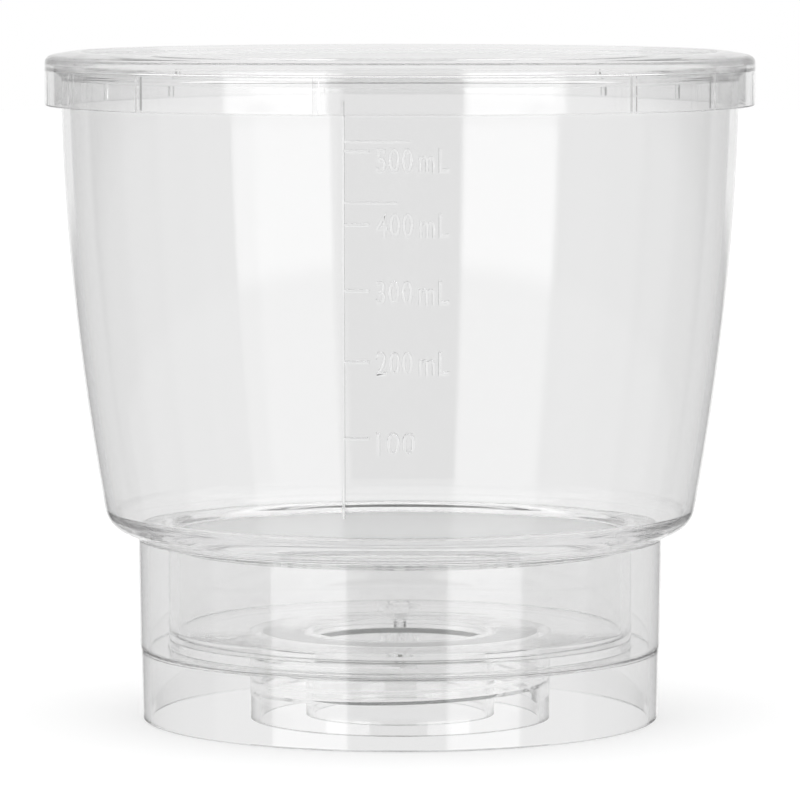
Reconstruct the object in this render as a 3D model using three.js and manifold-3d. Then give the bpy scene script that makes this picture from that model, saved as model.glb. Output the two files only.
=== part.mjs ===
// A 500 mL bottle-top vacuum filtration unit in clear polystyrene: a graduated funnel with a loose lid, a
// membrane on a drain grid, and a screw base with a hose connector for the vacuum line.
// Millimetres, +Z up. The origin is the centre of the base rim's underside, and the scale faces -Y.

import * as THREE from 'three';
import { mergeVertices } from 'three/addons/utils/BufferGeometryUtils.js';
import Module from 'manifold-3d';

const wasm = await Module();
wasm.setup();

// ---- driving dimensions -----------------------------------------------------------------------------

const SEGMENTS = 64;
const CURVE_STEPS = 5;
const OVERLAP = 0.3; // how far a rib or boss runs into the wall that carries it

// heights of the surfaces where the pieces meet
const WEB_TOP = 12.05;
const DRUM_TOP = 28.9;
const GRID_TOP = 29.85;
const MEMBRANE_TOP = 30.1;
const RIM_TOP = 108.6;

const LID = {
  radius: 58.25, top: 109.9, edgeTop: 109.15, edgeRound: 1.25, crownRadius: 53.8,
  skirtBottom: 101.1, skirtWall: 1.3, innerRound: 0.5,
  recessRadius: 51.6, recessTop: 109.1, plateBottom: 107.8,
  plugRadius: 53.2, plugWall: 1.3, plugBottom: 105.5,
};
// centring ribs in the lid's skirt: angles from the front, each with a twin mirrored to the back
const LID_RIBS = {
  angles: [-80, -66.2, -45.8, -13.2, 39.7, 59.9, 80], width: 0.9, reach: 0.55, bottom: 101.4,
};

const FUNNEL = {
  wall: 1.5, rimRadius: 56.3, rimBottom: 106.4, topRadius: 55.55, topHeight: 102,
  bellyRadius: 54.9, bellyHeight: 69.75, shoulderRadius: 48.65, shoulderHeight: 35,
  cornerRadius: 48.2, cornerHeight: 32.4, slopeRadius: 45.9, slopeHeight: 31.35,
  collarTopRadius: 43.2, collarTop: 30.1, collarFootRadius: 42.95,
  floorTop: 31.6, floorSlopeEnd: 41.6, openingRadius: 37.2,
};
// raised scale on the front of the funnel: one upright line, a tick for every 100 mL, and two long fine marks
const SCALE = {
  raise: 0.3, lineX: -9.1, lineWidth: 0.45, lineBottom: 37.8, lineTop: 103.3,
  tickHeights: [95.6, 84.2, 73.9, 62.7, 50.6], tickRight: -4.8, tickWidth: 0.45,
  fineMarks: [{ height: 97.1, right: 1.6 }, { height: 87.6, right: -0.5 }], fineWidth: 0.3,
};

const MEMBRANE_RADIUS = 37.9;

// the grid's rim lies on the drum, and its plate fits inside it
const GRID = {
  rimRadius: 38.2, rimInner: 34.9, plateRadius: 36.3, bottom: 28.3, plateTop: 29.1,
  ringRadii: [12.2, 24.2], ringWidth: 0.8, hubRadius: 3.2, hubDrop: 1.9, ribs: 12, ribWidth: 0.8,
  segments: 40,
};
const GRID_HOLES = {
  radius: 1.5, sides: 8,
  rows: [{ distance: 8.2, count: 6 }, { distance: 18.2, count: 12 }, { distance: 29.6, count: 12 }],
};

const BASE = {
  footRadius: 42.6, skirtTopRadius: 42.8, skirtWall: 1.4, webThickness: 1.5,
  drumRadius: 38.2, drumWall: 1.6, floorThickness: 1.5, floorOuterTop: 15.0, floorInnerTop: 14.4,
  neckBore: 23.1, neckWall: 1.7, sealHeight: 12.9, spoutRadius: 15.6, spoutWall: 1.2, spoutBottom: 0.6,
};
const PORT = {
  height: 6, tubeRadius: 3.3, bore: 1.6, towerDistance: 31, towerRadius: 3.7, towerBottom: 2.2,
  barbStart: 47.4, barbPitch: 3.3, barbs: 3, barbRadius: 4.1, barbRoot: 3.0, tipRadius: 2.8, segments: 20,
};

const GASKET = { inner: 16.2, outer: 22.8, thickness: 1.0 };
const PLUG = { radius: 1.5, start: 45, length: 7, segments: 12 };

// ---- shape helpers ----------------------------------------------------------------------------------

/** A closed mesh as a solid: vertices merged, and the flat triangles at a lathe's pole left out. */
function toSolid(geometry) {
  const bare = geometry.clone();
  bare.deleteAttribute('normal');
  bare.deleteAttribute('uv');
  const merged = mergeVertices(bare);
  const triangles = [];
  for (let i = 0; i < merged.index.count; i += 3) {
    const [a, b, c] = [0, 1, 2].map((k) => merged.index.getX(i + k));
    if (a !== b && b !== c && c !== a) triangles.push(a, b, c);
  }
  const vertProperties = new Float32Array(merged.attributes.position.array);
  const triVerts = new Uint32Array(triangles);
  return new wasm.Manifold(new wasm.Mesh({ numProp: 3, vertProperties, triVerts }));
}

/** The named mesh of a solid. */
function toMesh(name, solid, material) {
  const { vertProperties, triVerts } = solid.getMesh();
  const geometry = new THREE.BufferGeometry();
  geometry.setAttribute('position', new THREE.BufferAttribute(new Float32Array(vertProperties), 3));
  geometry.setIndex(new THREE.BufferAttribute(new Uint32Array(triVerts), 1));
  geometry.computeVertexNormals();
  const mesh = new THREE.Mesh(geometry, material);
  mesh.name = name;
  return mesh;
}

/** Revolves a (radius, height) path about Z. The path runs out along the bottom and back along the top. */
function revolve(path, segments = SEGMENTS) {
  const lathe = new THREE.LatheGeometry(path.getPoints(CURVE_STEPS), segments);
  lathe.rotateX(Math.PI / 2);
  return toSolid(lathe);
}

/** A path of straight lines through [radius, height] pairs. */
function straight(points) {
  return new THREE.Path(points.map(([r, z]) => new THREE.Vector2(r, z)));
}

/** A round bar along Z between two heights. */
function bar(radius, bottom, top, x, y, segments) {
  const cylinder = new THREE.CylinderGeometry(radius, radius, top - bottom, segments);
  cylinder.rotateX(Math.PI / 2);
  cylinder.translate(x, y, (bottom + top) / 2);
  return toSolid(cylinder);
}

/** An upright block given by its limits. */
function block(x0, x1, y0, y1, z0, z1) {
  const box = new THREE.BoxGeometry(x1 - x0, y1 - y0, z1 - z0);
  box.translate((x0 + x1) / 2, (y0 + y1) / 2, (z0 + z1) / 2);
  return toSolid(box);
}

/** A radial rib from one radius to another, standing at an angle in degrees from the front (-Y). */
function radialRib(angle, inner, outer, width, z0, z1) {
  return block(-width / 2, width / 2, -outer, -inner, z0, z1).rotate([0, 0, angle]);
}

/** The solid of several that overlap. */
function join(solids) {
  return solids.reduce((whole, next) => whole.add(next));
}

// ---- lid --------------------------------------------------------------------------------------------

function lid() {
  const skirtInner = LID.radius - LID.skirtWall;
  const plugInner = LID.plugRadius - LID.plugWall;
  const shell = new THREE.Path();
  shell.moveTo(0, LID.plateBottom);
  shell.lineTo(plugInner, LID.plateBottom);
  shell.lineTo(plugInner, LID.plugBottom);
  shell.lineTo(LID.plugRadius, LID.plugBottom);
  shell.lineTo(LID.plugRadius, RIM_TOP);
  shell.lineTo(skirtInner - LID.innerRound, RIM_TOP);
  shell.quadraticCurveTo(skirtInner, RIM_TOP, skirtInner, RIM_TOP - LID.innerRound);
  shell.lineTo(skirtInner, LID.skirtBottom);
  shell.lineTo(LID.radius, LID.skirtBottom);
  shell.lineTo(LID.radius, LID.edgeTop - LID.edgeRound);
  shell.quadraticCurveTo(LID.radius, LID.edgeTop, LID.radius - LID.edgeRound, LID.edgeTop);
  shell.lineTo(LID.crownRadius, LID.top);
  shell.lineTo(LID.recessRadius + (LID.top - LID.recessTop), LID.top);
  shell.lineTo(LID.recessRadius, LID.recessTop);
  shell.lineTo(0, LID.recessTop);

  const ribs = LID_RIBS.angles.flatMap((angle) => [angle, 180 - angle]).map((angle) => radialRib(
    angle, skirtInner - LID_RIBS.reach, skirtInner + OVERLAP, LID_RIBS.width,
    LID_RIBS.bottom, RIM_TOP + OVERLAP,
  ));
  return join([revolve(shell), ...ribs]);
}

// ---- funnel -----------------------------------------------------------------------------------------

/** Adds the funnel's outer wall to a path, from the collar up to the rim's foot, moved out by a distance. */
function outerWall(path, out = 0) {
  path.lineTo(FUNNEL.slopeRadius + out, FUNNEL.slopeHeight);
  path.quadraticCurveTo(
    FUNNEL.cornerRadius + out, FUNNEL.cornerHeight, FUNNEL.shoulderRadius + out, FUNNEL.shoulderHeight);
  path.quadraticCurveTo(
    FUNNEL.bellyRadius + out, FUNNEL.bellyHeight, FUNNEL.topRadius + out, FUNNEL.topHeight);
}

function funnelShell() {
  const { wall } = FUNNEL;
  const shell = new THREE.Path();
  shell.moveTo(FUNNEL.collarFootRadius - wall, WEB_TOP);
  shell.lineTo(FUNNEL.collarFootRadius, WEB_TOP);
  shell.lineTo(FUNNEL.collarTopRadius, FUNNEL.collarTop);
  outerWall(shell);
  shell.lineTo(FUNNEL.topRadius, FUNNEL.rimBottom - (FUNNEL.rimRadius - FUNNEL.topRadius));
  shell.lineTo(FUNNEL.rimRadius, FUNNEL.rimBottom);
  shell.lineTo(FUNNEL.rimRadius, RIM_TOP);
  shell.lineTo(FUNNEL.topRadius - wall, RIM_TOP);
  shell.lineTo(FUNNEL.topRadius - wall, FUNNEL.topHeight);
  shell.quadraticCurveTo(
    FUNNEL.bellyRadius - wall, FUNNEL.bellyHeight, FUNNEL.shoulderRadius - wall, FUNNEL.shoulderHeight);
  shell.quadraticCurveTo(
    FUNNEL.cornerRadius - wall, FUNNEL.cornerHeight + wall,
    FUNNEL.slopeRadius - wall, FUNNEL.slopeHeight + wall);
  shell.lineTo(FUNNEL.floorSlopeEnd, FUNNEL.floorTop);
  shell.lineTo(FUNNEL.openingRadius, FUNNEL.floorTop);
  shell.lineTo(FUNNEL.openingRadius, MEMBRANE_TOP);
  shell.lineTo(FUNNEL.collarTopRadius - wall, MEMBRANE_TOP);
  shell.closePath();
  return revolve(shell);
}

/** The raised lines of the scale: blocks cut to a skin that follows the wall. */
function funnelScale() {
  const skin = new THREE.Path();
  skin.moveTo(FUNNEL.slopeRadius - FUNNEL.wall / 2, FUNNEL.slopeHeight);
  outerWall(skin, SCALE.raise);
  skin.lineTo(FUNNEL.topRadius + SCALE.raise, SCALE.lineTop + 1);
  skin.lineTo(FUNNEL.topRadius - FUNNEL.wall / 2, SCALE.lineTop + 1);
  skin.lineTo(FUNNEL.topRadius - FUNNEL.wall / 2, FUNNEL.topHeight);
  skin.quadraticCurveTo(
    FUNNEL.bellyRadius - FUNNEL.wall / 2, FUNNEL.bellyHeight,
    FUNNEL.shoulderRadius - FUNNEL.wall / 2, FUNNEL.shoulderHeight);
  skin.closePath();

  const mark = (right, bottom, top) => block(SCALE.lineX, right, -FUNNEL.rimRadius, 0, bottom, top);
  const line = mark(SCALE.lineX + SCALE.lineWidth, SCALE.lineBottom, SCALE.lineTop);
  const ticks = SCALE.tickHeights.map((height) => mark(
    SCALE.tickRight, height - SCALE.tickWidth / 2, height + SCALE.tickWidth / 2));
  const fineMarks = SCALE.fineMarks.map(({ height, right }) => mark(
    right, height - SCALE.fineWidth / 2, height + SCALE.fineWidth / 2));
  return join([line, ...ticks, ...fineMarks]).intersect(revolve(skin));
}

// ---- membrane and drain grid ------------------------------------------------------------------------

function membrane() {
  return revolve(straight([
    [0, GRID_TOP], [MEMBRANE_RADIUS, GRID_TOP], [MEMBRANE_RADIUS, MEMBRANE_TOP], [0, MEMBRANE_TOP],
  ]));
}

function supportGrid() {
  const profile = [
    [0, GRID.bottom - GRID.hubDrop], [GRID.hubRadius, GRID.bottom],
    [GRID.plateRadius, GRID.bottom], [GRID.plateRadius, DRUM_TOP],
    [GRID.rimRadius, DRUM_TOP], [GRID.rimRadius, GRID_TOP],
    [GRID.rimInner, GRID_TOP], [GRID.rimInner, GRID.plateTop],
  ];
  for (const radius of [...GRID.ringRadii].reverse()) {
    const [inner, outer] = [radius - GRID.ringWidth / 2, radius + GRID.ringWidth / 2];
    profile.push([outer, GRID.plateTop], [outer, GRID_TOP], [inner, GRID_TOP], [inner, GRID.plateTop]);
  }
  profile.push([GRID.hubRadius, GRID.plateTop], [GRID.hubRadius, GRID_TOP], [0, GRID_TOP]);

  const step = 360 / GRID.ribs;
  const ribs = Array.from({ length: GRID.ribs }, (_, i) => radialRib(
    (i + 0.5) * step, GRID.hubRadius - OVERLAP, GRID.rimInner + OVERLAP, GRID.ribWidth,
    GRID.plateTop - OVERLAP, GRID_TOP,
  ));
  const hole = (distance, angle) => bar(
    GRID_HOLES.radius, GRID.bottom - 1, GRID_TOP + 1, 0, -distance, GRID_HOLES.sides,
  ).rotate([0, 0, angle]);
  const holes = GRID_HOLES.rows.flatMap(({ distance, count }) => Array.from(
    { length: count }, (_, i) => hole(distance, (i * 360) / count)));
  return join([revolve(straight(profile), GRID.segments), ...ribs]).subtract(join(holes));
}

// ---- base -------------------------------------------------------------------------------------------

function baseBody() {
  const drumInner = BASE.drumRadius - BASE.drumWall;
  const webBottom = WEB_TOP - BASE.webThickness;
  const spoutInner = BASE.spoutRadius - BASE.spoutWall;
  const neckOuter = BASE.neckBore + BASE.neckWall;
  return revolve(straight([
    // underside, from the spout out to the skirt
    [spoutInner, BASE.spoutBottom],
    [BASE.spoutRadius, BASE.spoutBottom],
    [BASE.spoutRadius, BASE.sealHeight],
    [BASE.neckBore, BASE.sealHeight],
    [BASE.neckBore, 0],
    [neckOuter, 0],
    [neckOuter, BASE.sealHeight],
    [drumInner, BASE.floorOuterTop - BASE.floorThickness],
    [drumInner, webBottom],
    [BASE.skirtTopRadius - BASE.skirtWall, webBottom],
    [BASE.footRadius - BASE.skirtWall, 0],
    [BASE.footRadius, 0],
    // upper side, from the skirt's top over the drum to the chamber floor
    [BASE.skirtTopRadius, WEB_TOP],
    [BASE.drumRadius, WEB_TOP],
    [BASE.drumRadius, DRUM_TOP],
    [drumInner, DRUM_TOP],
    [drumInner, BASE.floorOuterTop],
    [spoutInner, BASE.floorInnerTop],
    [spoutInner, BASE.spoutBottom],
  ]));
}

/** The hose connector: a barbed tube through the skirt at the back, and the tower up to the chamber. */
function port() {
  const tip = PORT.barbStart + PORT.barbs * PORT.barbPitch;
  const profile = [
    [0, PORT.towerDistance], [PORT.tubeRadius, PORT.towerDistance], [PORT.tubeRadius, PORT.barbStart],
  ];
  for (let i = 0; i < PORT.barbs; i += 1) {
    const start = PORT.barbStart + i * PORT.barbPitch;
    const root = i === PORT.barbs - 1 ? PORT.tipRadius : PORT.barbRoot;
    profile.push([PORT.barbRadius, start], [root, start + PORT.barbPitch]);
  }
  profile.push([0, tip]);
  const tube = toSolid(new THREE.LatheGeometry(straight(profile).getPoints(), PORT.segments));
  const tower = bar(
    PORT.towerRadius, PORT.towerBottom, BASE.floorInnerTop, 0, PORT.towerDistance, PORT.segments);

  const drill = new THREE.CylinderGeometry(PORT.bore, PORT.bore, tip + 1 - PORT.towerDistance, PORT.segments);
  drill.translate(0, (tip + 1 + PORT.towerDistance) / 2, 0);
  const across = toSolid(drill).translate([0, 0, PORT.height]);
  const up = bar(PORT.bore, PORT.height, BASE.floorOuterTop + 1, 0, PORT.towerDistance, PORT.segments);
  return { body: tube.translate([0, 0, PORT.height]).add(tower), bores: across.add(up) };
}

function base() {
  const { body, bores } = port();
  return baseBody().add(body).subtract(bores);
}

// ---- gasket and port plug ---------------------------------------------------------------------------

function neckGasket() {
  const bottom = BASE.sealHeight - GASKET.thickness;
  return revolve(straight([
    [GASKET.inner, bottom], [GASKET.outer, bottom],
    [GASKET.outer, BASE.sealHeight], [GASKET.inner, BASE.sealHeight], [GASKET.inner, bottom],
  ]), GRID.segments);
}

function portPlug() {
  const plug = new THREE.CylinderGeometry(PLUG.radius, PLUG.radius, PLUG.length, PLUG.segments);
  plug.translate(0, PLUG.start + PLUG.length / 2, PORT.height);
  return toSolid(plug);
}

// ---- materials and assembly -------------------------------------------------------------------------

const clearPolystyrene = new THREE.MeshStandardMaterial({
  color: '#eef1f1', roughness: 0.08, metalness: 0, transparent: true, opacity: 0.3,
});
const filterMembrane = new THREE.MeshStandardMaterial({ color: '#f6f6f3', roughness: 0.9, metalness: 0 });
const silicone = new THREE.MeshStandardMaterial({ color: '#e3e5e3', roughness: 0.6, metalness: 0 });
const cottonWadding = new THREE.MeshStandardMaterial({ color: '#f7f6f2', roughness: 1, metalness: 0 });

const filtrationUnit = new THREE.Group();
filtrationUnit.add(
  toMesh('lid', lid(), clearPolystyrene),
  toMesh('funnel', funnelShell().add(funnelScale()), clearPolystyrene),
  toMesh('membrane', membrane(), filterMembrane),
  toMesh('support_grid', supportGrid(), clearPolystyrene),
  toMesh('base', base(), clearPolystyrene),
  toMesh('neck_gasket', neckGasket(), silicone),
  toMesh('port_plug', portPlug(), cottonWadding),
);

export default filtrationUnit;
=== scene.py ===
"""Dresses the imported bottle-top filtration unit: clear mouldings, membrane, gasket, wadding and studio."""

import logging
import math
from collections.abc import Sequence
from dataclasses import dataclass, field
from enum import Enum

import bmesh
import bpy
from mathutils import Matrix, Vector


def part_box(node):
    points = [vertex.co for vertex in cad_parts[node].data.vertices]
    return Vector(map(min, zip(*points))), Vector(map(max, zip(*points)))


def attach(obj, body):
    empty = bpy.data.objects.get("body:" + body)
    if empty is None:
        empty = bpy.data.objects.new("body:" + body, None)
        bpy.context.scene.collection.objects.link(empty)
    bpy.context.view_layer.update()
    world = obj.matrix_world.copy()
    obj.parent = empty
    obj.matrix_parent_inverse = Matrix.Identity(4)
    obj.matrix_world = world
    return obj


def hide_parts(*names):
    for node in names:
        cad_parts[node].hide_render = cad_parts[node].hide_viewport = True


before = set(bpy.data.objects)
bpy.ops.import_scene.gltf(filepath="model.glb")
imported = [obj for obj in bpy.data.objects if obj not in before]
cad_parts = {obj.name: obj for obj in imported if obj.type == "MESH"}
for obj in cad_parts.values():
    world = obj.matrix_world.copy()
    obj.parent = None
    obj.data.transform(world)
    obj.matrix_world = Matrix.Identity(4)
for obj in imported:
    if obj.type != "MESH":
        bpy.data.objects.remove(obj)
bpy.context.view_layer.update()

MM = 0.001
BODY = "root"
# roundings of moulded edges in millimetres: as sharp as the tool leaves them, and eased by hand
CRISP = 0.12
EASED = 0.2
# how far a rib, a ridge or a bar runs into the wall that carries it
OVERLAP = 0.3

log = logging.getLogger("filtration_unit")

Point = tuple[float, float]


class Slot(Enum):
    """The record's material slots, listed here; no piece takes its finish from them."""

    CLEAR = "clear_polystyrene"
    MEMBRANE = "filter_membrane"
    SILICONE = "silicone"
    WADDING = "wadding"


class Join(Enum):
    """How one solid is combined with another."""

    UNION = "UNION"
    DIFFERENCE = "DIFFERENCE"


# ---- colours and shader nodes --------------------------------------------------------------------


def linear(hex_colour: str, alpha: float = 1.0) -> tuple[float, float, float, float]:
    """Turns an sRGB hex colour to linear light.

    Args:
        hex_colour: Six hex digits after a hash.
        alpha: The fourth channel, passed through.

    Returns:
        Red, green, blue and alpha, linear.
    """
    channels = [int(hex_colour[i : i + 2], 16) / 255 for i in (1, 3, 5)]
    red, green, blue = (c / 12.92 if c <= 0.04045 else ((c + 0.055) / 1.055) ** 2.4 for c in channels)
    return red, green, blue, alpha


def add_node(tree: bpy.types.NodeTree, kind: str, inputs: dict | None = None, **settings) -> bpy.types.Node:
    """Adds a shader node with its settings, values and links.

    Args:
        tree: The node tree to add to.
        kind: The node's Blender type.
        inputs: Socket name or index to a value, or to an output socket to link from.
        **settings: Attributes of the node itself.

    Returns:
        The new node.
    """
    made = tree.nodes.new(kind)
    for name, value in settings.items():
        setattr(made, name, value)
    for key, value in (inputs or {}).items():
        if isinstance(value, bpy.types.NodeSocket):
            tree.links.new(value, made.inputs[key])
        else:
            made.inputs[key].default_value = value
    return made


def new_material(name: str) -> tuple[bpy.types.Material, bpy.types.NodeTree]:
    """Makes an empty node material."""
    material = bpy.data.materials.new(name)
    material.use_nodes = True
    material.node_tree.nodes.clear()
    return material, material.node_tree


# ---- finishes ------------------------------------------------------------------------------------


@dataclass(frozen=True)
class ClearPolystyrene:
    """Crystal polystyrene, injection moulded in polished steel tools: colourless, with a hard gloss that is
    a little duller in soft clouds where the melt has flowed."""

    colour: str = "#fcfcfc"
    ior: float = 1.59
    transmission: float = 0.994
    roughness: tuple[float, float] = (0.012, 0.028)
    cloud_mm: float = 12.0

    def build(self) -> bpy.types.Material:
        """Builds the material."""
        material, tree = new_material("clear_polystyrene_moulded")
        place = add_node(tree, "ShaderNodeTexCoord").outputs["Object"]
        clouds = add_node(
            tree, "ShaderNodeTexNoise", {"Vector": place, "Scale": 1 / (self.cloud_mm * MM), "Detail": 0.0}
        )
        gloss = add_node(
            tree, "ShaderNodeMapRange",
            {"Value": clouds.outputs["Fac"], "To Min": self.roughness[0], "To Max": self.roughness[1]},
        )
        shader = add_node(
            tree, "ShaderNodeBsdfPrincipled",
            {
                "Base Color": linear(self.colour), "IOR": self.ior, "Transmission Weight": self.transmission,
                "Roughness": gloss.outputs["Result"],
            },
        )
        add_node(tree, "ShaderNodeOutputMaterial", {"Surface": shader.outputs["BSDF"]})
        return material


@dataclass(frozen=True)
class PolyethersulfoneMembrane:
    """Cast polyethersulfone membrane: a matt, even white skin with a very fine pore grain, and an even
    painted glow all over that makes it lighter than the light reaching it would."""

    colour: str = "#fafafa"
    grain_colour: str = "#f2f3f2"
    # the real pores are far finer than any view shows, so the grain is drawn at the size of paper tooth
    grain_mm: float = 0.35
    grain_height_mm: float = 0.0015
    grain_strength: float = 0.4
    roughness: float = 0.85
    gloss: float = 0.1
    # painted light: an even emission over the whole membrane that lifts it above what the light reaching it
    # gives; it is no lamp
    painted_glow: float = 0.18

    def build(self) -> bpy.types.Material:
        """Builds the material."""
        material, tree = new_material("polyethersulfone_membrane_cast")
        place = add_node(tree, "ShaderNodeTexCoord").outputs["Object"]
        grain = add_node(
            tree, "ShaderNodeTexNoise", {"Vector": place, "Scale": 1 / (self.grain_mm * MM), "Detail": 4.0}
        )
        tone = add_node(
            tree, "ShaderNodeMix",
            {"Factor": grain.outputs["Fac"], "A": linear(self.grain_colour), "B": linear(self.colour)},
            data_type="RGBA",
        )
        bump = add_node(
            tree, "ShaderNodeBump",
            {
                "Height": grain.outputs["Fac"], "Strength": self.grain_strength,
                "Distance": self.grain_height_mm * MM,
            },
        )
        # the emission paints light onto the membrane, evenly all over
        shader = add_node(
            tree, "ShaderNodeBsdfPrincipled",
            {
                "Base Color": tone.outputs["Result"], "Roughness": self.roughness,
                "Specular IOR Level": self.gloss,
                "Normal": bump.outputs["Normal"], "Emission Color": linear(self.colour),
                "Emission Strength": self.painted_glow,
            },
        )
        add_node(tree, "ShaderNodeOutputMaterial", {"Surface": shader.outputs["BSDF"]})
        return material


@dataclass(frozen=True)
class SiliconeRubber:
    """Pressed silicone rubber: milky and translucent, with a satin skin and its mould's fine texture."""

    colour: str = "#e9ebea"
    ior: float = 1.42
    transmission: float = 0.55
    texture_mm: float = 0.4
    texture_height_mm: float = 0.01
    satin: tuple[float, float] = (0.42, 0.55)

    def build(self) -> bpy.types.Material:
        """Builds the material."""
        material, tree = new_material("silicone_rubber_pressed")
        place = add_node(tree, "ShaderNodeTexCoord").outputs["Object"]
        skin = add_node(
            tree, "ShaderNodeTexNoise", {"Vector": place, "Scale": 1 / (self.texture_mm * MM), "Detail": 2.0}
        )
        bump = add_node(
            tree, "ShaderNodeBump",
            {"Height": skin.outputs["Fac"], "Strength": 0.5, "Distance": self.texture_height_mm * MM},
        )
        satin = add_node(
            tree, "ShaderNodeMapRange",
            {"Value": skin.outputs["Fac"], "To Min": self.satin[0], "To Max": self.satin[1]},
        )
        shader = add_node(
            tree, "ShaderNodeBsdfPrincipled",
            {
                "Base Color": linear(self.colour), "IOR": self.ior, "Transmission Weight": self.transmission,
                "Roughness": satin.outputs["Result"], "Normal": bump.outputs["Normal"],
            },
        )
        add_node(tree, "ShaderNodeOutputMaterial", {"Surface": shader.outputs["BSDF"]})
        return material


@dataclass(frozen=True)
class CottonWadding:
    """Carded cotton pressed into a plug: matt warm white, with short fibres that lie along the bore."""

    colour: str = "#f6f4ee"
    shade: str = "#d9d6cc"
    fibre_mm: float = 0.25
    fibre_height_mm: float = 0.12
    # how much a fibre is longer than it is thick, and how far it wanders
    fibre_stretch: float = 5.0
    fibre_wander: float = 1.5
    fluff: float = 0.3

    def build(self) -> bpy.types.Material:
        """Builds the material."""
        material, tree = new_material("cotton_wadding_pressed")
        place = add_node(tree, "ShaderNodeTexCoord").outputs["Object"]
        along = add_node(
            tree, "ShaderNodeMapping", {"Vector": place, "Scale": (1.0, 1 / self.fibre_stretch, 1.0)}
        )
        fibres = add_node(
            tree, "ShaderNodeTexNoise",
            {
                "Vector": along.outputs["Vector"], "Scale": 1 / (self.fibre_mm * MM), "Detail": 5.0,
                "Distortion": self.fibre_wander,
            },
        )
        tone = add_node(
            tree, "ShaderNodeMix",
            {"Factor": fibres.outputs["Fac"], "A": linear(self.shade), "B": linear(self.colour)},
            data_type="RGBA",
        )
        bump = add_node(
            tree, "ShaderNodeBump",
            {"Height": fibres.outputs["Fac"], "Strength": 0.8, "Distance": self.fibre_height_mm * MM},
        )
        shader = add_node(
            tree, "ShaderNodeBsdfPrincipled",
            {
                "Base Color": tone.outputs["Result"], "Roughness": 1.0, "Sheen Weight": self.fluff,
                "Normal": bump.outputs["Normal"],
            },
        )
        add_node(tree, "ShaderNodeOutputMaterial", {"Surface": shader.outputs["BSDF"]})
        return material


# ---- outlines and solids -------------------------------------------------------------------------


@dataclass
class Outline:
    """The half section of a turned piece: (radius, height) points in millimetres, with rounded corners."""

    round_steps: int = 5
    _corners: list[tuple[float, float, float]] = field(default_factory=list)

    def corner(self, radius: float, height: float, rounding: float = 0.0) -> "Outline":
        """Adds a corner, rounded with an arc that starts at the given distance from it."""
        self._corners.append((radius, height, rounding))
        return self

    def curve(self, control: Point, end: Point, steps: int) -> "Outline":
        """Adds a quadratic curve from the last point.

        Args:
            control: The point where the end tangents meet.
            end: The curve's end.
            steps: How many straight pieces stand for it.

        Returns:
            The outline itself.
        """
        start = self._corners[-1][:2]
        for i in range(1, steps + 1):
            self._corners.append((*quadratic(start, control, end, i / steps), 0.0))
        return self

    def points(self, closed: bool) -> list[Point]:
        """Works out the points with every rounding in place.

        Args:
            closed: Whether the last corner joins the first.

        Returns:
            The points in order.
        """
        found: list[Point] = []
        count = len(self._corners)
        for i, (radius, height, rounding) in enumerate(self._corners):
            here = Vector((radius, height))
            if rounding <= 0:
                found.append((radius, height))
                continue
            before = Vector(self._corners[i - 1][:2]) - here
            after = Vector(self._corners[(i + 1) % count][:2]) - here
            start = here + before.normalized() * min(rounding, before.length / 2)
            end = here + after.normalized() * min(rounding, after.length / 2)
            for step in range(self.round_steps + 1):
                found.append(quadratic(start, here, end, step / self.round_steps))
        if closed:
            found.append(found[0])
        return found


def quadratic(start: Sequence[float], control: Sequence[float], end: Sequence[float], t: float) -> Point:
    """A point of a quadratic curve, at t from 0 to 1."""
    a, b, c = (1 - t) ** 2, 2 * t * (1 - t), t * t
    return a * start[0] + b * control[0] + c * end[0], a * start[1] + b * control[1] + c * end[1]


def object_from(bm: bmesh.types.BMesh, name: str) -> bpy.types.Object:
    """Turns a finished bmesh into an object at the origin.

    Args:
        bm: The mesh, which is freed.
        name: The object's name.

    Returns:
        The new object, linked to the scene.
    """
    mesh = bpy.data.meshes.new(name)
    bm.to_mesh(mesh)
    bm.free()
    made = bpy.data.objects.new(name, mesh)
    bpy.context.scene.collection.objects.link(made)
    return made


def turned(
    name: str, points: Sequence[Point], steps: int = 256, along_y: float | None = None
) -> bpy.types.Object:
    """Spins a half section about the upright axis, or about a level axis that runs back along +Y.

    Args:
        name: The object's name.
        points: (radius, height) pairs in millimetres, closed or from axis to axis.
        steps: How many facets stand round the axis.
        along_y: The level axis's height in millimetres; the pairs are then (radius, distance back).

    Returns:
        The turned solid.
    """
    bm = bmesh.new()
    if along_y is None:
        places = [(r * MM, 0.0, z * MM) for r, z in points]
        axis, centre = (0, 0, 1), (0, 0, 0)
    else:
        places = [(r * MM, y * MM, along_y * MM) for r, y in points]
        axis, centre = (0, 1, 0), (0, 0, along_y * MM)
    ring = [bm.verts.new(place) for place in places]
    wire = [bm.edges.new(pair) for pair in zip(ring, ring[1:])]
    bmesh.ops.spin(
        bm, geom=ring + wire, axis=axis, cent=centre, angle=math.tau, steps=steps,
        use_merge=True, use_duplicate=False, use_normal_flip=False,
    )
    bmesh.ops.remove_doubles(bm, verts=bm.verts, dist=0.0005 * MM)
    bmesh.ops.recalc_face_normals(bm, faces=bm.faces)
    return object_from(bm, name)


def add_block(bm: bmesh.types.BMesh, low: Sequence[float], high: Sequence[float], turn: float = 0.0) -> None:
    """Adds a block between two corners in millimetres, then turns it about the upright axis.

    Args:
        bm: The mesh to add to.
        low: The block's lowest corner.
        high: Its highest corner.
        turn: The angle in radians.
    """
    size = [h - l for l, h in zip(low, high)]
    middle = [(h + l) / 2 for l, h in zip(low, high)]
    placed = (
        Matrix.Rotation(turn, 4, "Z")
        @ Matrix.Translation(Vector(middle) * MM)
        @ Matrix.Diagonal((*[s * MM for s in size], 1.0))
    )
    bmesh.ops.create_cube(bm, size=1.0, matrix=placed)


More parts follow.
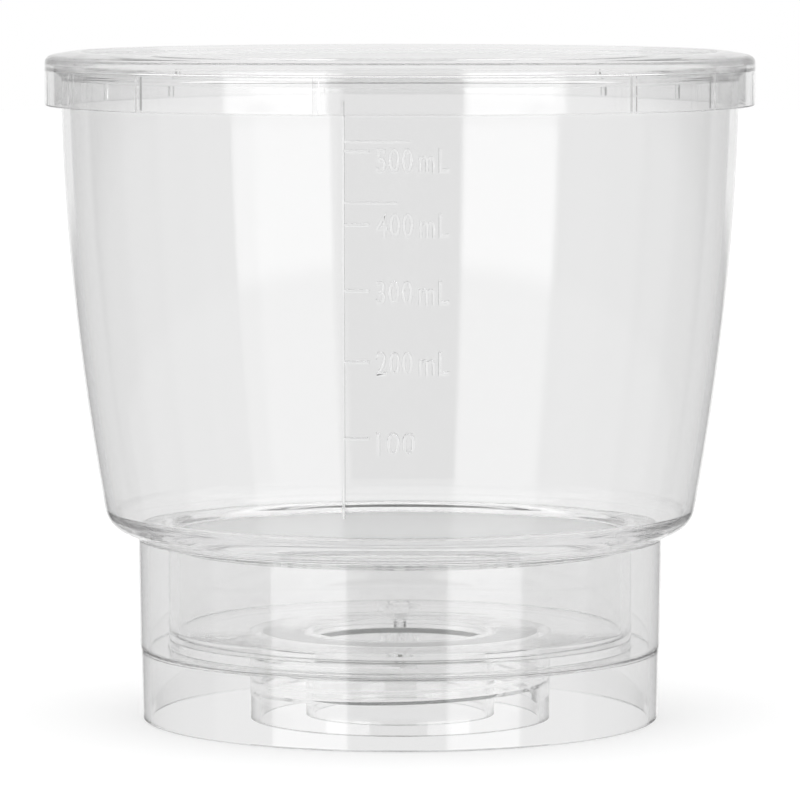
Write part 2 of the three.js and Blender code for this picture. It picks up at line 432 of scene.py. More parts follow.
def add_bar(bm: bmesh.types.BMesh, radius: float, foot: Sequence[float], height: float, sides: int) -> None:
    """Adds an upright round bar.

    Args:
        bm: The mesh to add to.
        radius: The bar's radius in millimetres.
        foot: The centre of its lower end.
        height: Its height.
        sides: How many sides it has.
    """
    middle = Vector((foot[0], foot[1], foot[2] + height / 2)) * MM
    bmesh.ops.create_cone(
        bm, cap_ends=True, segments=sides, radius1=radius * MM, radius2=radius * MM, depth=height * MM,
        matrix=Matrix.Translation(middle),
    )


def combine(target: bpy.types.Object, tool: bpy.types.Object, how: Join, overlapping: bool = False) -> None:
    """Joins a solid to another or cuts it out, then deletes the tool.

    Args:
        target: The solid that stays.
        tool: The solid that is joined or cut.
        how: Union or difference.
        overlapping: Whether the tool's own parts overlap each other.
    """
    modifier = target.modifiers.new(how.value.lower(), "BOOLEAN")
    modifier.operation = how.value
    modifier.solver = "EXACT"
    modifier.use_self = overlapping
    modifier.object = tool
    settle(target)
    bpy.data.objects.remove(tool)


def settle(target: bpy.types.Object) -> None:
    """Applies every modifier of an object to its mesh."""
    graph = bpy.context.evaluated_depsgraph_get()
    made = bpy.data.meshes.new_from_object(target.evaluated_get(graph))
    target.modifiers.clear()
    old, target.data = target.data, made
    bpy.data.meshes.remove(old)


def finish_piece(piece: bpy.types.Object, material: bpy.types.Material, node: str) -> None:
    """Shades, dresses and registers a piece that stands for a CAD node.

    Args:
        piece: The finished solid.
        material: Its material.
        node: The CAD node that it replaces.
    """
    mesh = piece.data
    mesh.materials.clear()
    mesh.materials.append(material)
    mesh.shade_smooth()
    mesh.set_sharp_from_angle(angle=math.radians(32))
    weighted = piece.modifiers.new("even_normals", "WEIGHTED_NORMAL")
    weighted.mode = "FACE_AREA"
    weighted.weight = 50
    weighted.keep_sharp = True
    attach(piece, BODY)
    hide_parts(node)
    log.info("%s: %d faces", piece.name, len(mesh.polygons))


# ---- the heights and radii that the pieces share -------------------------------------------------


@dataclass(frozen=True)
class Seats:
    """Where the pieces meet, in millimetres, read from the frame."""

    web_top: float = round(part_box("funnel")[0].z / MM, 3)
    drum_top: float = round(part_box("base")[1].z / MM, 3)
    grid_top: float = round(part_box("membrane")[0].z / MM, 3)
    membrane_top: float = round(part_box("membrane")[1].z / MM, 3)
    # the lid's border is moulded this much thicker where it lies on the rim, and the rim ends that much
    # lower
    border: float = 1.3
    rim_top: float = round(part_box("funnel")[1].z / MM, 3) - border
    # the hair's breadth of air that is left where two pieces lie on each other
    air: float = 0.03


SEATS = Seats()


# ---- lid -----------------------------------------------------------------------------------------


@dataclass
class Lid:
    """The loose lid: a disc with a raised border, a skirt with centring ribs, and a plug ring."""

    material: bpy.types.Material
    radius: float = round(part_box("lid")[1].x / MM, 3)
    top: float = round(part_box("lid")[1].z / MM, 3)
    skirt_bottom: float = round(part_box("lid")[0].z / MM, 3)
    edge_top: float = 109.15
    edge_round: float = 1.3
    crown_radius: float = 53.8
    crown_round: float = 1.5
    skirt_wall: float = 1.3
    recess_radius: float = 51.6
    recess_depth: float = 0.8
    recess_round: float = 0.25
    border_round: float = 0.6
    skirt_round: float = 0.3
    plate_bottom: float = 107.8
    plug_radius: float = 53.2
    plug_bottom: float = 105.5
    # angles from the front in degrees, each with a twin mirrored to the back
    rib_angles: tuple[float, ...] = (-80, -66.2, -45.8, -13.2, 39.7, 59.9, 80)
    rib_width: float = 0.9
    rib_reach: float = 0.55
    rib_bottom: float = 101.4
    rib_top: float = 106.9

    def shell(self) -> bpy.types.Object:
        """Turns the lid without its ribs."""
        inner = self.radius - self.skirt_wall
        plug_inner = self.plug_radius - self.skirt_wall
        seat = SEATS.rim_top + SEATS.air
        section = (
            Outline()
            .corner(0, self.plate_bottom)
            .corner(plug_inner, self.plate_bottom, EASED)
            .corner(plug_inner, self.plug_bottom, EASED)
            .corner(self.plug_radius, self.plug_bottom, EASED)
            .corner(self.plug_radius, seat, EASED)
            .corner(inner, seat, self.border_round)
            .corner(inner, self.skirt_bottom, EASED)
            .corner(self.radius, self.skirt_bottom, self.skirt_round)
            .corner(self.radius, self.edge_top, self.edge_round)
            .corner(self.crown_radius, self.top, self.crown_round)
            .corner(self.recess_radius + self.recess_depth, self.top, self.recess_round)
            .corner(self.recess_radius, self.top - self.recess_depth, self.recess_round)
            .corner(0, self.top - self.recess_depth)
        )
        return turned("lid_clear", section.points(closed=False))

    def ribs(self) -> bpy.types.Object:
        """Makes the centring ribs that hold the skirt off the funnel."""
        inner = self.radius - self.skirt_wall
        bm = bmesh.new()
        for angle in self.rib_angles:
            for turn in (angle, 180 - angle):
                add_block(
                    bm,
                    (-self.rib_width / 2, -inner - OVERLAP, self.rib_bottom),
                    (self.rib_width / 2, self.rib_reach - inner, self.rib_top),
                    math.radians(turn),
                )
        return object_from(bm, "lid_ribs")

    def build(self) -> bpy.types.Object:
        """Builds and dresses the lid."""
        lid = self.shell()
        combine(lid, self.ribs(), Join.UNION)
        finish_piece(lid, self.material, "lid")
        return lid


# ---- funnel --------------------------------------------------------------------------------------


@dataclass
class Funnel:
    """The graduated funnel: cup, rounded shoulder, floor ring and collar, with a raised scale in front."""

    material: bpy.types.Material
    wall: float = 1.5
    rim_radius: float = round(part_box("funnel")[1].x / MM, 3)
    rim_bottom: float = 106.4
    top: Point = (55.55, 102.0)
    belly: Point = (54.9, 69.75)
    shoulder: Point = (48.65, 35.0)
    corner: Point = (48.2, 32.4)
    slope: Point = (45.9, 31.35)
    collar_top: Point = (43.2, 30.1)
    collar_foot_radius: float = 42.95
    floor_top: float = 31.6
    floor_slope_end: float = 41.6
    opening_radius: float = 37.2
    # the floor ring thins toward its opening, where it is welded to the membrane
    lip_reach: float = 1.6
    lip_edge: float = 0.35
    lip_round: float = 1.0
    lip_edge_round: float = 0.15
    floor_round: float = 1.2
    collar_round: float = 0.4
    rim_foot_round: float = 0.4
    seat_round: float = 0.5
    # the scale, across the front at the left and up the wall
    mark_heights: tuple[float, ...] = (95.6, 84.2, 73.9, 62.7, 50.6)
    line_left: float = -9.1
    line_width: float = 0.5
    line_bottom: float = 37.8
    line_top: float = 103.3
    tick_right: float = -4.8
    # two long fine marks: height and right end
    fine_marks: tuple[Point, ...] = ((97.1, 1.6), (87.6, -0.5))
    fine_width: float = 0.36
    # the figures of the marks from the top down, the width that they may take, and how far below its mark
    # the middle of each stands
    labels: tuple[tuple[str, float, float], ...] = (
        ("500 mL", 11.4, 1.5), ("400 mL", 11.4, 0.2), ("300 mL", 11.4, 0.4), ("200 mL", 11.4, 0.3),
        ("100", 6.2, 0.9),
    )
    label_left: float = -3.75
    label_height: float = 3.8
    label_slope: float = 0.29
    # the font's figures are this share of its size, and stand this far apart
    figure_share: float = 0.73
    letter_space: float = 1.1
    word_space: float = 0.35
    raise_height: float = 0.36
    root_depth: float = 0.4
    mark_slope: float = 0.23

    def shell(self) -> bpy.types.Object:
        """Turns the funnel without its scale."""
        wall = self.wall
        foot = SEATS.web_top + SEATS.air
        ring = SEATS.membrane_top + SEATS.air
        section = (
            Outline()
            .corner(self.collar_foot_radius - wall, foot, CRISP)
            .corner(self.collar_foot_radius, foot, CRISP)
            .corner(*self.collar_top, self.collar_round)
            .corner(*self.slope)
            .curve(self.corner, self.shoulder, 12)
            .curve(self.belly, self.top, 24)
            .corner(self.top[0], self.rim_bottom - (self.rim_radius - self.top[0]), self.rim_foot_round)
            .corner(self.rim_radius, self.rim_bottom, EASED)
            .corner(self.rim_radius, SEATS.rim_top, EASED)
            .corner(self.top[0] - wall, SEATS.rim_top, EASED)
            .corner(self.top[0] - wall, self.top[1])
            .curve(self.inward(self.belly), self.inward(self.shoulder), 24)
            .curve(
                (self.corner[0] - wall, self.corner[1] + wall),
                (self.slope[0] - wall, self.slope[1] + wall),
                12,
            )
            .corner(self.floor_slope_end, self.floor_top, self.floor_round)
            .corner(self.opening_radius + self.lip_reach, self.floor_top, self.lip_round)
            .corner(self.opening_radius, ring + self.lip_edge, self.lip_edge_round)
            .corner(self.opening_radius, ring, CRISP)
            .corner(self.collar_top[0] - wall, ring, self.seat_round)
        )
        return turned("funnel_clear", section.points(closed=True))

    def inward(self, point: Point) -> Point:
        """Moves a point of the outer wall in by the wall's thickness."""
        return point[0] - self.wall, point[1]

    def radius_at(self, height: float) -> float:
        """The outer wall's radius at a height, both in millimetres."""
        low, mid, high = self.shoulder[1], self.belly[1], self.top[1]
        if height >= high:
            return self.top[0]
        a, b, c = low - 2 * mid + high, 2 * (mid - low), low - height
        t = (-b + math.sqrt(b * b - 4 * a * c)) / (2 * a) if abs(a) > 1e-9 else -c / b
        return quadratic(self.shoulder, self.belly, self.top, max(t, 0.0))[0]

    def wrap(self, bm: bmesh.types.BMesh) -> None:
        """Bends flat marks onto the wall: x goes round it, z up it, and y is the height above its surface.

        That turns them inside out, so their faces are reversed.
        """
        for vert in bm.verts:
            across, out, up = vert.co / MM
            radius = self.radius_at(up)
            angle = across / radius
            reach = radius + out
            vert.co = Vector((math.sin(angle) * reach, -math.cos(angle) * reach, up)) * MM
        bmesh.ops.reverse_faces(bm, faces=bm.faces)

    def add_ridge(self, bm: bmesh.types.BMesh, low: Point, high: Point, cuts: int) -> None:
        """Adds a flat raised bar with sloping sides between two corners of the scale.

        Args:
            bm: The mesh to add to, in the scale's flat frame.
            low: The bar's left end and foot.
            high: Its right end and head.
            cuts: How many cuts across its length let it follow the wall.
        """
        bar = bmesh.new()
        add_block(bar, (low[0], -self.root_depth, low[1]), (high[0], self.raise_height, high[1]))
        crest = [e for e in bar.edges if all(v.co.y > 0 for v in e.verts)]
        bmesh.ops.bevel(
            bar, geom=crest, offset=self.mark_slope * MM, segments=4, profile=0.5, affect="EDGES",
            material=-1, clamp_overlap=True,
        )
        way = 0 if high[0] - low[0] > high[1] - low[1] else 2
        length = (high[way // 2] - low[way // 2]) * MM
        # the bevel shortens some of the lengthwise edges a little
        most = 0.7 * length
        lengthwise = [e for e in bar.edges if abs(e.verts[0].co[way] - e.verts[1].co[way]) > most]
        bmesh.ops.subdivide_edges(bar, edges=lengthwise, cuts=cuts, use_grid_fill=True)
        ready = bpy.data.meshes.new("ridge")
        bar.to_mesh(ready)
        bar.free()
        bm.from_mesh(ready)
        bpy.data.meshes.remove(ready)

    def upright(self) -> bpy.types.Object:
        """Makes the scale's upright line."""
        bm = bmesh.new()
        left = self.line_left
        self.add_ridge(bm, (left, self.line_bottom), (left + self.line_width, self.line_top), cuts=40)
        self.wrap(bm)
        return object_from(bm, "scale_upright")

    def ticks(self) -> bpy.types.Object:
        """Makes the tick of each mark and the two long fine lines."""
        rows = [(height, self.tick_right, self.line_width) for height in self.mark_heights]
        rows += [(height, right, self.fine_width) for height, right in self.fine_marks]
        bm = bmesh.new()
        start = self.line_left + self.line_width / 2
        for height, right, width in rows:
            self.add_ridge(bm, (start, height - width / 2), (right, height + width / 2), cuts=6)
        self.wrap(bm)
        return object_from(bm, "scale_ticks")

    def figures(self) -> bpy.types.Object:
        """Makes the figures of the marks."""
        bm = bmesh.new()
        for height, (text, width, drop) in zip(self.mark_heights, self.labels):
            self.add_label(bm, text, width, height - drop)
        self.wrap(bm)
        return object_from(bm, "scale_figures")

    def add_label(self, bm: bmesh.types.BMesh, text: str, width: float, height: float) -> None:
        """Adds one flat label beside its tick.

        Args:
            bm: The mesh to add to, in the scale's flat frame.
            text: What the label says.
            width: The width that it may take, to which it is narrowed.
            height: The height of its middle.
        """
        curve = bpy.data.curves.new("label", "FONT")
        curve.body = text
        curve.size = self.label_height / self.figure_share
        curve.space_character = self.letter_space
        curve.space_word = self.word_space
        curve.extrude = (self.root_depth + self.raise_height) / 2 - self.label_slope
        curve.bevel_depth = self.label_slope
        curve.bevel_resolution = 3
        # the slope widens each stroke, so its outline is drawn in by more than half of that
        curve.offset = -0.6 * self.label_slope
        curve.resolution_u = 3
        writer = bpy.data.objects.new("label", curve)
        bpy.context.scene.collection.objects.link(writer)
        graph = bpy.context.evaluated_depsgraph_get()
        mesh = bpy.data.meshes.new_from_object(writer.evaluated_get(graph))
        bpy.data.objects.remove(writer)
        bpy.data.curves.remove(curve)

        xs = [v.co.x for v in mesh.vertices]
        ys = [v.co.y for v in mesh.vertices]
        narrow = min(1.0, width / (max(xs) - min(xs)))
        foot = height - self.label_height / 2
        middle = (self.raise_height - self.root_depth) / 2
        for vert in mesh.vertices:
            x, y, z = vert.co
            across = self.label_left + (x - min(xs)) * narrow
            vert.co = Vector((across, z + middle, foot + y - min(ys))) * MM
        letters = bmesh.new()
        letters.from_mesh(mesh)
        bpy.data.meshes.remove(mesh)
        bmesh.ops.remove_doubles(letters, verts=letters.verts, dist=0.001 * MM)
        bmesh.ops.recalc_face_normals(letters, faces=letters.faces)
        flat = bpy.data.meshes.new("letters")
        letters.to_mesh(flat)
        letters.free()
        bm.from_mesh(flat)
        bpy.data.meshes.remove(flat)

    def build(self) -> bpy.types.Object:
        """Builds and dresses the funnel."""
        funnel = self.shell()
        marks = self.figures()
        combine(marks, self.ticks(), Join.UNION, overlapping=True)
        combine(marks, self.upright(), Join.UNION)
        combine(funnel, marks, Join.UNION)
        finish_piece(funnel, self.material, "funnel")
        return funnel


# ---- membrane and drain grid ---------------------------------------------------------------------


@dataclass
class FilterBed:
    """The membrane and the drain grid under it."""

    clear: bpy.types.Material
    membrane_material: bpy.types.Material
    membrane_radius: float = round(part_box("membrane")[1].x / MM, 3)
    grid_rim_radius: float = round(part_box("support_grid")[1].x / MM, 3)
    grid_rim_inner: float = 34.9
    plate_radius: float = 36.3
    plate_bottom: float = 28.3
    plate_top: float = 29.1
    ring_radii: tuple[float, ...] = (24.2, 12.2)
    ring_width: float = 0.8
    hub_radius: float = 3.2
    hub_drop: float = 1.9
    ribs: int = 12
    rib_drop: float = 0.02
    # rows of drain holes: distance from the axis and number of holes
    hole_rows: tuple[tuple[float, int], ...] = ((8.2, 6), (18.2, 12), (29.6, 12))
    hole_radius: float = 1.5

    def membrane(self) -> bpy.types.Object:
        """Builds the membrane disc."""
        section = (
            Outline(round_steps=2)
            .corner(0, SEATS.grid_top + SEATS.air)
            .corner(self.membrane_radius, SEATS.grid_top + SEATS.air, 0.05)
            .corner(self.membrane_radius, SEATS.membrane_top, 0.05)
            .corner(0, SEATS.membrane_top)
        )
        disc = turned("membrane_disc", section.points(closed=False))
        finish_piece(disc, self.membrane_material, "membrane")
        return disc

    def grid(self) -> bpy.types.Object:
        """Builds the drain grid."""
        bottom, plate, top = self.plate_bottom, self.plate_top, SEATS.grid_top
        seat = SEATS.drum_top + SEATS.air
        section = Outline(round_steps=2)
        section.corner(0, bottom - self.hub_drop).corner(self.hub_radius, bottom, 0.4)
        section.corner(self.plate_radius, bottom, EASED).corner(self.plate_radius, seat, 0.1)
        section.corner(self.grid_rim_radius, seat, EASED).corner(self.grid_rim_radius, top, EASED)
        section.corner(self.grid_rim_inner, top, EASED).corner(self.grid_rim_inner, plate)
        for radius in self.ring_radii:
            inner, outer = radius - self.ring_width / 2, radius + self.ring_width / 2
            section.corner(outer, plate).corner(outer, top, EASED)
            section.corner(inner, top, EASED).corner(inner, plate)
        section.corner(self.hub_radius, plate).corner(self.hub_radius, top, EASED).corner(0, top)
        grid = turned("support_grid_clear", section.points(closed=False), steps=192)

        ribs = bmesh.new()
        for i in range(self.ribs):
            add_block(
                ribs,
                (-self.ring_width / 2, -self.grid_rim_inner - OVERLAP, plate - OVERLAP),
                (self.ring_width / 2, OVERLAP - self.hub_radius, top - self.rib_drop),
                (i + 0.5) * math.tau / self.ribs,
            )
        combine(grid, object_from(ribs, "grid_ribs"), Join.UNION)
        holes = bmesh.new()
        for radius, count in self.hole_rows:
            for i in range(count):
                angle = i * math.tau / count
                foot = (radius * math.sin(angle), -radius * math.cos(angle), bottom - 1)
                add_bar(holes, self.hole_radius, foot, 3.5, 24)
        combine(grid, object_from(holes, "grid_holes"), Join.DIFFERENCE)
        finish_piece(grid, self.clear, "support_grid")
        return grid


# ---- screw base ----------------------------------------------------------------------------------


@dataclass
class ScrewBase:
    """The screw base: drum, chamber floor, skirt, threaded neck, spout ring and hose connector."""

    clear: bpy.types.Material
    silicone: bpy.types.Material
    wadding: bpy.types.Material
    foot_radius: float = 42.6
    skirt_top_radius: float = 42.8
    skirt_wall: float = 1.4
    web_thickness: float = 0.8
    drum_radius: float = 38.2
    drum_wall: float = 1.6
    floor_thickness: float = 1.5
    floor_outer_top: float = 15.0
    floor_inner_top: float = 14.4
    neck_bore: float = 23.1
    neck_wall: float = 1.7
    seal_height: float = round(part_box("neck_gasket")[1].z / MM, 3)
    spout_radius: float = 15.6
    spout_wall: float = 1.2
    spout_bottom: float = 0.6
    gasket_inner: float = 16.2
    # the hose connector
    port_height: float = 6.0
    tube_radius: float = 3.3
    bore_radius: float = 1.6
    tower_distance: float = 31.0
    tower_radius: float = 3.7
    tower_bottom: float = 2.2
    barb_start: float = 47.4
    barb_pitch: float = 3.3
    barbs: int = 3
    barb_radius: float = 4.1
    barb_root: float = 3.0
    tip_radius: float = 2.8
    # the neck's thread, for the 45 mm neck of laboratory bottles
    thread_pitch: float = 4.0
    thread_turns: float = 1.75
    thread_start: float = 3.2
    thread_depth: float = 1.1
    thread_root: float = 1.3
    thread_crest: float = 0.45
    thread_sink: float = 0.2
    thread_steps: int = 96

    def body(self) -> bpy.types.Object:
        """Turns the base without its connector."""
        drum_inner = self.drum_radius - self.drum_wall
        web_bottom = SEATS.web_top - self.web_thickness
        spout_inner = self.spout_radius - self.spout_wall
        neck_outer = self.neck_bore + self.neck_wall
        section = (
            Outline()
            .corner(spout_inner, self.spout_bottom, CRISP)
            .corner(self.spout_radius, self.spout_bottom, CRISP)
            .corner(self.spout_radius, self.seal_height, EASED)
            .corner(self.neck_bore, self.seal_height, EASED)
            .corner(self.neck_bore, 0, CRISP)
            .corner(neck_outer, 0, CRISP)
            .corner(neck_outer, self.seal_height, EASED)
            .corner(drum_inner, self.floor_outer_top - self.floor_thickness, EASED)
            .corner(drum_inner, web_bottom, EASED)
            .corner(self.skirt_top_radius - self.skirt_wall, web_bottom, EASED)
            .corner(self.foot_radius - self.skirt_wall, 0, 0.3)
            .corner(self.foot_radius, 0, 0.4)
            .corner(self.skirt_top_radius, SEATS.web_top, CRISP)
            .corner(self.drum_radius, SEATS.web_top, EASED)
            .corner(self.drum_radius, SEATS.drum_top, EASED)
            .corner(drum_inner, SEATS.drum_top, EASED)
            .corner(drum_inner, self.floor_outer_top, EASED)
            .corner(spout_inner, self.floor_inner_top, EASED)
        )
        return turned("base_clear", section.points(closed=True))

    def connector(self) -> bpy.types.Object:
        """Turns the barbed tube and adds the tower that leads up to the chamber."""
        section = Outline(round_steps=3)
        section.corner(0, self.tower_distance).corner(self.tube_radius, self.tower_distance)
        section.corner(self.tube_radius, self.barb_start)
        for i in range(self.barbs):
            start = self.barb_start + i * self.barb_pitch
            root = self.tip_radius if i == self.barbs - 1 else self.barb_root
            section.corner(self.barb_radius, start, 0.15).corner(root, start + self.barb_pitch)
        section.corner(0, self.barb_start + self.barbs * self.barb_pitch)
        tube = turned("connector", section.points(closed=False), steps=64, along_y=self.port_height)
        tower = bmesh.new()
        foot = (0, self.tower_distance, self.tower_bottom)
        add_bar(tower, self.tower_radius, foot, self.floor_inner_top - self.tower_bottom, 64)
        combine(tube, object_from(tower, "tower"), Join.UNION)
        return tube

    def bores(self) -> bpy.types.Object:
        """Makes the air way: along the tube, then up the tower into the chamber."""
        end = self.barb_start + self.barbs * self.barb_pitch + 1
        start = self.tower_distance
        way = [(0, start), (self.bore_radius, start), (self.bore_radius, end), (0, end)]
        along = turned("air_way", way, steps=48, along_y=self.port_height)
        up = bmesh.new()
        foot = (0, self.tower_distance, self.port_height)
        add_bar(up, self.bore_radius, foot, self.floor_outer_top + 1 - self.port_height, 48)
        combine(along, object_from(up, "air_way_up"), Join.UNION)
        return along

    def thread(self) -> bpy.types.Object:
        """Makes the neck's thread: one ridge that climbs the bore."""
        root, crest = self.thread_root, self.thread_crest
        wall = self.neck_bore + self.thread_sink
        section = [
            (wall, -root), (self.neck_bore - self.thread_depth, -crest),
            (self.neck_bore - self.thread_depth, crest), (wall, root),
        ]
        steps = round(self.thread_steps * self.thread_turns)
        rise = self.thread_pitch * self.thread_turns
        bm = bmesh.new()
        ring = [bm.verts.new((r * MM, 0, (self.thread_start + z) * MM)) for r, z in section]
        start = bm.faces.new(ring)
        bmesh.ops.spin(
            bm, geom=[start], axis=(0, 0, 1), cent=(0, 0, 0), dvec=(0, 0, rise / steps * MM),
            angle=math.tau * self.thread_turns, steps=steps, use_merge=False, use_duplicate=False,
        )
        bmesh.ops.recalc_face_normals(bm, faces=bm.faces)
        return object_from(bm, "thread")

    def gasket(self) -> bpy.types.Object:
        """Builds the flat gasket against which the bottle's mouth seals."""
        low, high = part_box("neck_gasket")
        inner, outer = self.gasket_inner, high.x / MM
        top = high.z / MM - SEATS.air
        section = (
            Outline(round_steps=3)
            .corner(inner, low.z / MM, 0.15)
            .corner(outer, low.z / MM, 0.15)
            .corner(outer, top, 0.15)
            .corner(inner, top, 0.15)
        )
        ring = turned("neck_gasket_ring", section.points(closed=True), steps=192)
        finish_piece(ring, self.silicone, "neck_gasket")
        return ring

    def plug(self) -> bpy.types.Object:
        """Builds the wadding plug in the hose connector."""
        low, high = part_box("port_plug")
        radius = (high.x - low.x) / 2 / MM
        section = (
            Outline(round_steps=4)
            .corner(0, low.y / MM)
            .corner(radius, low.y / MM, 0.5)
            .corner(radius, high.y / MM, 0.5)
            .corner(0, high.y / MM)
        )
        wad = turned("port_wadding", section.points(closed=False), steps=48, along_y=self.port_height)
        finish_piece(wad, self.wadding, "port_plug")
        return wad

    def build(self) -> bpy.types.Object:
        """Builds and dresses the base."""
        base = self.body()
        combine(base, self.connector(), Join.UNION)
        combine(base, self.bores(), Join.DIFFERENCE)
        combine(base, self.thread(), Join.UNION)
        finish_piece(base, self.clear, "base")
        return base


# ---- studio --------------------------------------------------------------------------------------


@dataclass
class Studio:
    """The pale floor, the soft surroundings and the camera."""

    floor_half: float = 3.0
    floor_colour: str = "#dcdcdc"
    floor_glow: float = 0.38
    floor_seen_through: float = 0.86
    floor_grain_scale: float = 900.0
    floor_grain_height_mm: float = 0.05
    floor_grain_strength: float = 0.1
    camera_distance: float = 0.935
    camera_height: float = 0.131
    aim_height: float = 0.0524
    lens: float = 256.0
    # what gloss and clear plastic see: share of a full turn, from straight behind the unit over its left
    # and its front round to straight behind again, and the level of light there: low down, below the
    # horizon, at it and above it
    surround_low: tuple[Point, ...] = (
        (0.0, 1.05), (0.04, 1.05), (0.045, 0.5), (0.08, 0.45), (0.16, 0.35), (0.17, 0.6), (0.245, 0.65),
        (0.255, 0.95), (0.336, 0.95), (0.341, 1.7), (0.434, 1.7), (0.438, 0.3), (0.556, 0.3), (0.56, 1.5),
        (0.649, 1.5), (0.654, 0.95), (0.745, 0.95), (0.755, 0.65), (0.83, 0.6), (0.84, 0.35), (0.92, 0.45),
        (0.955, 0.5), (0.96, 1.05), (1.0, 1.05),
    )
    surround_mid: tuple[Point, ...] = (
        (0.0, 0.95), (0.04, 0.95), (0.045, 0.2), (0.08, 0.2), (0.1, 0.35), (0.16, 0.35), (0.17, 0.35),
        (0.245, 0.4), (0.255, 0.7), (0.336, 0.7), (0.341, 2.9), (0.434, 2.9), (0.438, 0.3), (0.556, 0.3),
        (0.56, 2.8), (0.649, 2.8), (0.654, 0.7), (0.745, 0.7), (0.755, 0.4), (0.83, 0.35), (0.84, 0.35),
        (0.9, 0.35), (0.92, 0.2), (0.955, 0.25), (0.96, 0.95), (1.0, 0.95),
    )
    surround_level: tuple[Point, ...] = (
        (0.0, 0.95), (0.04, 0.95), (0.045, 0.8), (0.08, 0.8), (0.085, 0.3), (0.16, 0.3), (0.17, 0.35),
        (0.245, 0.4), (0.255, 0.7), (0.336, 0.7), (0.341, 2.3), (0.434, 2.3), (0.438, 0.3), (0.556, 0.3),
        (0.56, 2.1), (0.649, 2.1), (0.654, 0.7), (0.745, 0.7), (0.755, 0.4), (0.83, 0.35), (0.84, 0.3),
        (0.915, 0.3), (0.92, 0.85), (0.955, 0.85), (0.96, 0.95), (1.0, 0.95),
    )
    surround_high: tuple[Point, ...] = (
        (0.0, 0.86), (0.04, 0.86), (0.045, 0.75), (0.16, 0.74), (0.17, 0.86), (0.336, 0.9), (0.341, 1.4),
        (0.434, 1.4), (0.438, 0.5), (0.556, 0.5), (0.56, 1.3), (0.649, 1.3), (0.654, 0.9), (0.83, 0.86),
        (0.84, 0.74), (0.955, 0.75), (0.96, 0.86), (1.0, 0.86),
    )
    # heights of the direction where each of them starts, and what lies under and over them
    band: tuple[float, ...] = (-0.65, -0.22, -0.08, 0.0, 0.65)
    band_blur: float = 0.015
    ground_level: float = 0.75
    overhead_level: float = 1.3
    # light may cross or run along this many clear walls before it is dropped
    bounces: int = 48

    def floor(self) -> bpy.types.Object:
        """Lays the floor, which shows white through clear plastic and is hidden from gloss."""
        bm = bmesh.new()
        bmesh.ops.create_grid(bm, x_segments=1, y_segments=1, size=self.floor_half)
        floor = object_from(bm, "studio_floor")
        material, tree = new_material("matt_painted_board")
        place = add_node(tree, "ShaderNodeTexCoord").outputs["Object"]
        grain = add_node(
            tree, "ShaderNodeTexNoise",
            {"Vector": place, "Scale": self.floor_grain_scale, "Detail": 3.0},
        )
        bump = add_node(
            tree, "ShaderNodeBump",
            {
                "Height": grain.outputs["Fac"], "Strength": self.floor_grain_strength,
                "Distance": self.floor_grain_height_mm * MM,
            },
        )
        matt = add_node(
            tree, "ShaderNodeBsdfDiffuse",
            {"Color": linear(self.floor_colour), "Normal": bump.outputs["Normal"]},
        )
        painted_glow = add_node(tree, "ShaderNodeEmission", {"Color": (1, 1, 1, 1), "Strength": self.floor_glow})
        board = add_node(
            tree, "ShaderNodeAddShader", {0: matt.outputs["BSDF"], 1: painted_glow.outputs["Emission"]}
        )
        white = add_node(
            tree, "ShaderNodeEmission", {"Color": (1, 1, 1, 1), "Strength": self.floor_seen_through}
        )
        path = add_node(tree, "ShaderNodeLightPath")
        through = add_node(
            tree, "ShaderNodeMath",
            {0: path.outputs["Is Glossy Ray"], 1: path.outputs["Is Transmission Ray"]}, operation="MAXIMUM",
        )
        shown = add_node(
            tree, "ShaderNodeMixShader",
            {0: through.outputs["Value"], 1: board.outputs["Shader"], 2: white.outputs["Emission"]},
        )
        add_node(tree, "ShaderNodeOutputMaterial", {"Surface": shown.outputs["Shader"]})
        floor.data.materials.append(material)
        floor.visible_glossy = False
        return floor

    def world(self) -> bpy.types.World:
        """Lights the scene: pale all round, with two soft panels in front and darker strips beside them."""
        world = bpy.data.worlds.new("studio")
        world.use_nodes = True
        tree = world.node_tree
        tree.nodes.clear()
        toward = add_node(tree, "ShaderNodeTexCoord").outputs["Generated"]
        parts = add_node(tree, "ShaderNodeSeparateXYZ", {"Vector": toward})
        back = add_node(tree, "ShaderNodeMath", {0: parts.outputs["Y"], 1: -1.0}, operation="MULTIPLY")
        around = add_node(
            tree, "ShaderNodeMath", {0: parts.outputs["X"], 1: back.outputs["Value"]}, operation="ARCTAN2"
        )
        share = add_node(
            tree, "ShaderNodeMapRange",
            {"Value": around.outputs["Value"], "From Min": -math.pi, "From Max": math.pi},
        )
        level = self.ground_level
        layers = [
            (self.band[0], self.strips(tree, share, self.surround_low)),
            (self.band[1], self.strips(tree, share, self.surround_mid)),
            (self.band[2], self.strips(tree, share, self.surround_level)),
            (self.band[3], self.strips(tree, share, self.surround_high)),
            (self.band[4], self.overhead_level),
        ]
        for edge, layer in layers:
            over = add_node(
                tree, "ShaderNodeMapRange",
                {
                    "Value": parts.outputs["Z"], "From Min": edge - self.band_blur,
                    "From Max": edge + self.band_blur,
                },
                interpolation_type="SMOOTHSTEP",
            )
            level = add_node(
                tree, "ShaderNodeMix",
                {"Factor": over.outputs["Result"], "A": level, "B": layer},
                data_type="FLOAT",
            ).outputs["Result"]
        seen = add_node(tree, "ShaderNodeLightPath").outputs["Is Camera Ray"]
        final = add_node(
            tree, "ShaderNodeMix", {"Factor": seen, "A": level, "B": 1.0}, data_type="FLOAT"
        )
        sky = add_node(
            tree, "ShaderNodeBackground", {"Color": (1, 1, 1, 1), "Strength": final.outputs["Result"]}
        )
        add_node(tree, "ShaderNodeOutputWorld", {"Surface": sky.outputs["Background"]})
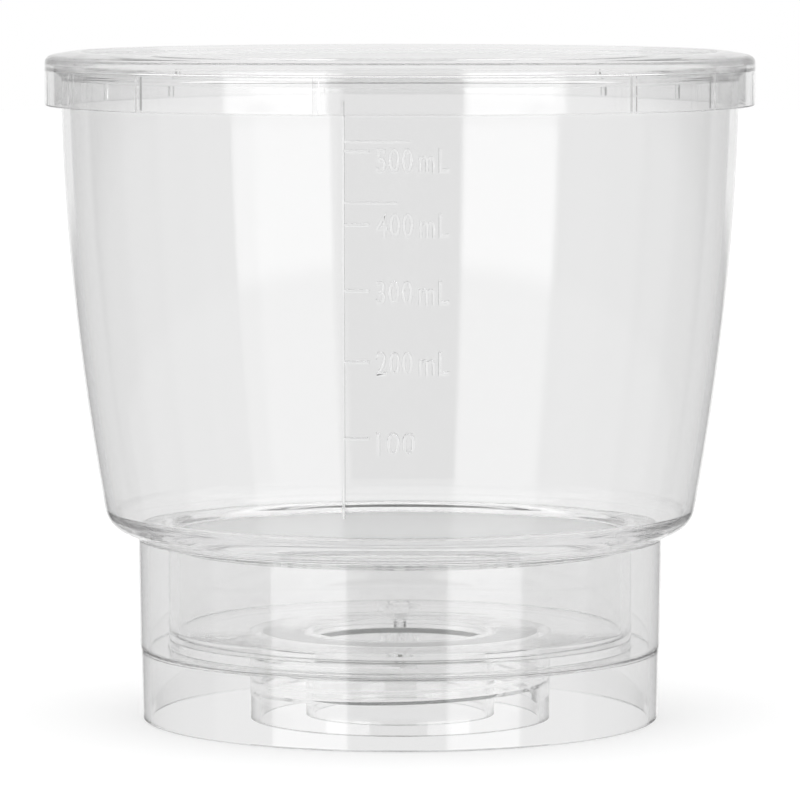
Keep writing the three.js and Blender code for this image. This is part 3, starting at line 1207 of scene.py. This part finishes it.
        bpy.context.scene.world = world
        return world

    def strips(
        self, tree: bpy.types.NodeTree, share: bpy.types.Node, levels: Sequence[Point]
    ) -> bpy.types.NodeSocket:
        """Adds a curve of straight pieces: the surround's level for each direction round the unit.

        Args:
            tree: The world's node tree.
            share: The node that gives the direction as a share of a full turn.
            levels: The curve's points.

        Returns:
            The curve's output.
        """
        made = add_node(tree, "ShaderNodeFloatCurve", {"Value": share.outputs["Result"]})
        made.mapping.use_clip = False
        curve = made.mapping.curves[0]
        for place, level in levels[1:-1]:
            curve.points.new(place, level)
        curve.points[0].location = levels[0]
        curve.points[-1].location = levels[-1]
        for point in curve.points:
            point.handle_type = "VECTOR"
        made.mapping.update()
        return made.outputs["Value"]

    def camera(self) -> bpy.types.Object:
        """Sets up the camera."""
        data = bpy.data.cameras.new("camera")
        data.lens = self.lens
        data.sensor_width = 36.0
        data.clip_start, data.clip_end = 0.05, 20.0
        camera = bpy.data.objects.new("camera", data)
        bpy.context.scene.collection.objects.link(camera)
        camera.location = (0.0, -self.camera_distance, self.camera_height)
        aim = Vector((0.0, 0.0, self.aim_height)) - camera.location
        camera.rotation_euler = aim.to_track_quat("-Z", "Y").to_euler()
        bpy.context.scene.camera = camera
        return camera

    def build(self) -> None:
        """Builds the whole studio and sets how far light may go through the clear walls."""
        self.camera()
        self.floor()
        self.world()
        scene = bpy.context.scene
        scene.view_settings.view_transform = "Standard"
        scene.cycles.max_bounces = self.bounces
        scene.cycles.transmission_bounces = self.bounces
        scene.cycles.glossy_bounces = self.bounces


def main() -> None:
    """Builds the studio and every piece of the unit."""
    logging.basicConfig(level=logging.INFO, format="%(name)s: %(message)s")
    Studio().build()
    clear = ClearPolystyrene().build()
    Lid(clear).build()
    Funnel(clear).build()
    bed = FilterBed(clear, PolyethersulfoneMembrane().build())
    bed.membrane()
    bed.grid()
    base = ScrewBase(clear, SiliconeRubber().build(), CottonWadding().build())
    base.build()
    base.gasket()
    base.plug()


if __name__ == "__main__":
    main()
